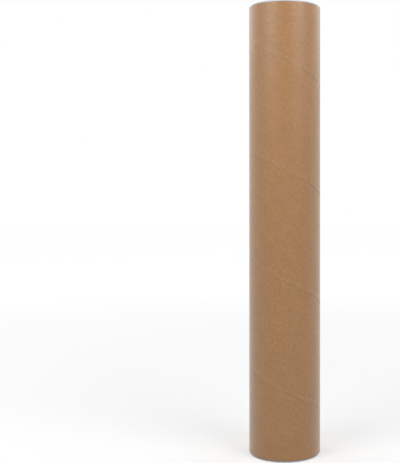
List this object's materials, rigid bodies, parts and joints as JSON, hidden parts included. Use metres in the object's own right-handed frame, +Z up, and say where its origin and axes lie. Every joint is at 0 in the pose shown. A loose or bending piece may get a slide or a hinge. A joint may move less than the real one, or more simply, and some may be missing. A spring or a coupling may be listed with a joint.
{
  "type": "mailing tube",
  "caption": "Spiral-wound kraft paper mailing tube with a recessed plastic cap pushed into each end, for posting rolled papers and prints.",
  "frame": {"origin": "centre of the lower end, on the surface that the tube stands on", "axes": "+Z up the tube's axis, -Y towards the front of the picture's view, +X to its right"},
  "size_m": [0.053, 0.053, 0.3324],
  "materials": {
    "kraft_board": "plain brown kraft paper, matt, with a spiral butt seam",
    "cap_plastic": "pale bluish white polyethylene, as moulded, satin"
  },
  "bodies": {
    "bottom_cap": {"bottom_cap": "cap_plastic"},
    "tube": {"paper_tube": "kraft_board"},
    "top_cap": {"top_cap": "cap_plastic"}
  },
  "joints": [
    {"name": "tube_off_bottom_cap", "type": "slide", "parent": "bottom_cap", "child": "tube", "axis": [0, 0, 1], "range_m": [0, 0.06]},
    {"name": "top_cap_pull", "type": "slide", "parent": "tube", "child": "top_cap", "axis": [0, 0, 1], "range_m": [0, 0.06]}
  ]
}
